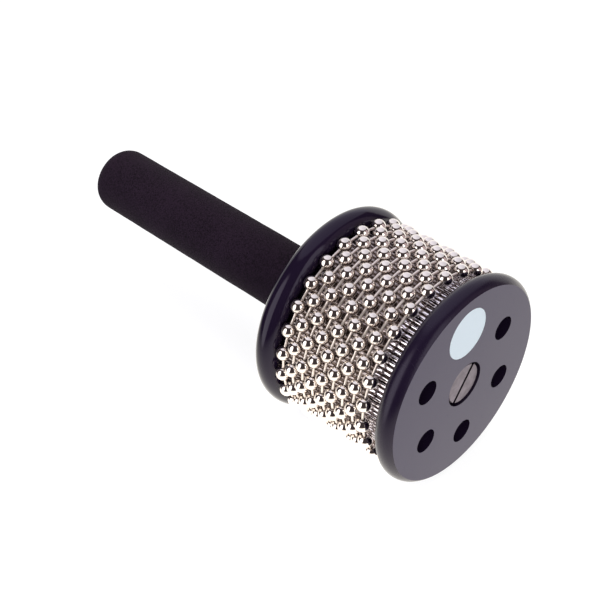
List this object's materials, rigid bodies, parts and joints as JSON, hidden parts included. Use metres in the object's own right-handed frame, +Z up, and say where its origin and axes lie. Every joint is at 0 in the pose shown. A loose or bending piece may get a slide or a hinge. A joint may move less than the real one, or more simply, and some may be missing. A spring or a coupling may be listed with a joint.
{
  "type": "cabasa",
  "caption": "Hand shaker drum: steel bead loops lie round a ribbed steel sheet between two round discs, on a foam-covered straight handle.",
  "frame": {"origin": "on the surface that the two rims rest on, under the middle of the whole length", "axes": "+X along the drum axis, out of the front disc; the handle points to -X; +Z up"},
  "size_m": [0.2162, 0.095, 0.095],
  "materials": {
    "grip_foam": "matte",
    "core_wood": "matte",
    "insert_brass": "satin",
    "disc_plastic": "satin",
    "badge_vinyl": "satin",
    "shell_plastic": "matte",
    "sheet_steel": "polished",
    "tube_aluminium": "satin",
    "screw_steel": "satin",
    "bead_steel": "polished",
    "link_steel": "satin"
  },
  "bodies": {
    "drum": {"foam_grip": "grip_foam", "handle_core": "core_wood", "threaded_insert": "insert_brass", "back_disc": "disc_plastic", "front_disc": "disc_plastic", "blank_badge": "badge_vinyl", "drum_shell": "shell_plastic", "ribbed_sheet": "sheet_steel", "spacer_tube": "tube_aluminium", "clamp_screw": "screw_steel"},
    "loop_1": {"loop_1_beads": "bead_steel", "loop_1_links": "link_steel"},
    "loop_2": {"loop_2_beads": "bead_steel", "loop_2_links": "link_steel"},
    "loop_3": {"loop_3_beads": "bead_steel", "loop_3_links": "link_steel"},
    "loop_4": {"loop_4_beads": "bead_steel", "loop_4_links": "link_steel"},
    "loop_5": {"loop_5_beads": "bead_steel", "loop_5_links": "link_steel"},
    "loop_6": {"loop_6_beads": "bead_steel", "loop_6_links": "link_steel"},
    "loop_7": {"loop_7_beads": "bead_steel", "loop_7_links": "link_steel"},
    "loop_8": {"loop_8_beads": "bead_steel", "loop_8_links": "link_steel"},
    "loop_9": {"loop_9_beads": "bead_steel", "loop_9_links": "link_steel"}
  },
  "joints": [
    {"name": "loop_1_spin", "type": "hinge", "parent": "drum", "child": "loop_1", "pos_m": [0.09065, 0, 0.0475], "axis": [1, 0, 0], "continuous": true},
    {"name": "loop_2_spin", "type": "hinge", "parent": "drum", "child": "loop_2", "pos_m": [0.0852, 0, 0.0475], "axis": [1, 0, 0], "continuous": true},
    {"name": "loop_3_spin", "type": "hinge", "parent": "drum", "child": "loop_3", "pos_m": [0.07975, 0, 0.0475], "axis": [1, 0, 0], "continuous": true},
    {"name": "loop_4_spin", "type": "hinge", "parent": "drum", "child": "loop_4", "pos_m": [0.0743, 0, 0.0475], "axis": [1, 0, 0], "continuous": true},
    {"name": "loop_5_spin", "type": "hinge", "parent": "drum", "child": "loop_5", "pos_m": [0.06885, 0, 0.0475], "axis": [1, 0, 0], "continuous": true},
    {"name": "loop_6_spin", "type": "hinge", "parent": "drum", "child": "loop_6", "pos_m": [0.0634, 0, 0.0475], "axis": [1, 0, 0], "continuous": true},
    {"name": "loop_7_spin", "type": "hinge", "parent": "drum", "child": "loop_7", "pos_m": [0.05795, 0, 0.0475], "axis": [1, 0, 0], "continuous": true},
    {"name": "loop_8_spin", "type": "hinge", "parent": "drum", "child": "loop_8", "pos_m": [0.0525, 0, 0.0475], "axis": [1, 0, 0], "continuous": true},
    {"name": "loop_9_spin", "type": "hinge", "parent": "drum", "child": "loop_9", "pos_m": [0.04705, 0, 0.0475], "axis": [1, 0, 0], "continuous": true}
  ],
  "couplings": [
    {"joint": "loop_2_spin", "follows": "loop_1_spin", "ratio": 1},
    {"joint": "loop_3_spin", "follows": "loop_1_spin", "ratio": 1},
    {"joint": "loop_4_spin", "follows": "loop_1_spin", "ratio": 1},
    {"joint": "loop_5_spin", "follows": "loop_1_spin", "ratio": 1},
    {"joint": "loop_6_spin", "follows": "loop_1_spin", "ratio": 1},
    {"joint": "loop_7_spin", "follows": "loop_1_spin", "ratio": 1},
    {"joint": "loop_8_spin", "follows": "loop_1_spin", "ratio": 1},
    {"joint": "loop_9_spin", "follows": "loop_1_spin", "ratio": 1}
  ]
}
